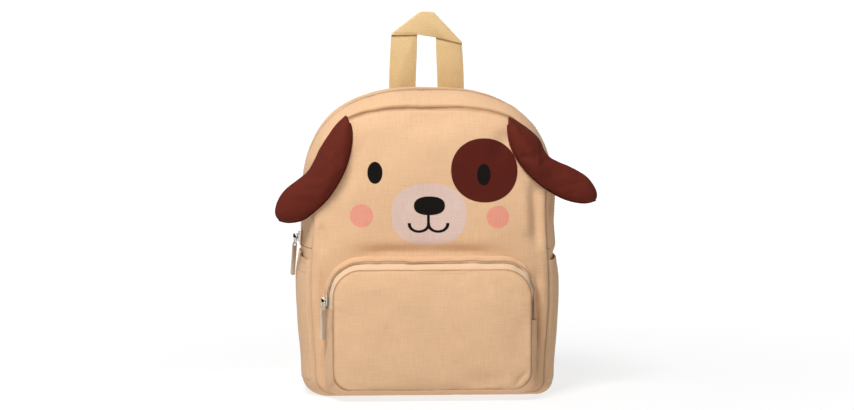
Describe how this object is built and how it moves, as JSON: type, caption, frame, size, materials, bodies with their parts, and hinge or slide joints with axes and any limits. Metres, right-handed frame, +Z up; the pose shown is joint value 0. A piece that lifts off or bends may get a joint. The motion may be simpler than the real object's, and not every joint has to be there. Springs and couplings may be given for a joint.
{
  "type": "kids animal backpack",
  "caption": "Child's puppy-faced backpack with a zipped front pocket, slip pockets, stuffed ears, a folded webbing handle and padded shoulder straps.",
  "frame": {"origin": "middle of the whole object's footprint, on the surface that the bag stands on", "axes": "+Z up, -Y out of the face, +X towards the viewer's right when looking at the face"},
  "size_m": [0.3166, 0.2092, 0.379],
  "materials": {
    "cloth_sand": "matte woven polyester in warm sand",
    "cloth_brown": "matte woven polyester in dark red brown",
    "webbing_straw": "flat woven webbing in straw yellow",
    "tape_cream": "knitted zip tape in pale cream",
    "coil_grey": "nylon zip coil in grey beige",
    "nickel": "pale nickel plate",
    "lock_plastic": "moulded acetal in the webbing's colour"
  },
  "bodies": {
    "root": {"front_panel": "cloth_sand", "zip_gusset_front": "cloth_sand", "zip_gusset_back": "cloth_sand", "main_zipper": "coil_grey", "base_gusset": "cloth_sand", "back_panel": "cloth_sand", "side_pocket_left": "cloth_sand", "side_pocket_right": "cloth_sand", "pocket_panel": "cloth_sand", "pocket_gusset": "cloth_sand", "pocket_zip_strip": "cloth_sand", "pocket_zipper_coil": "coil_grey", "pocket_zipper_tape": "tape_cream", "ear_left": "cloth_brown", "ear_right": "cloth_brown", "grab_handle": "webbing_straw", "shoulder_strap_left": "cloth_sand", "shoulder_strap_right": "cloth_sand", "strap_loop_left": "webbing_straw", "strap_loop_right": "webbing_straw", "strap_adjuster_left": "lock_plastic", "strap_adjuster_right": "lock_plastic", "strap_webbing_left": "webbing_straw", "strap_webbing_right": "webbing_straw", "strap_tab_left": "cloth_sand", "strap_tab_right": "cloth_sand", "main_zip_slider": "nickel", "main_zip_ring": "nickel", "main_zip_pull": "nickel", "pocket_zip_slider": "nickel", "pocket_zip_ring": "nickel", "pocket_zip_pull": "nickel"}
  },
  "joints": []
}
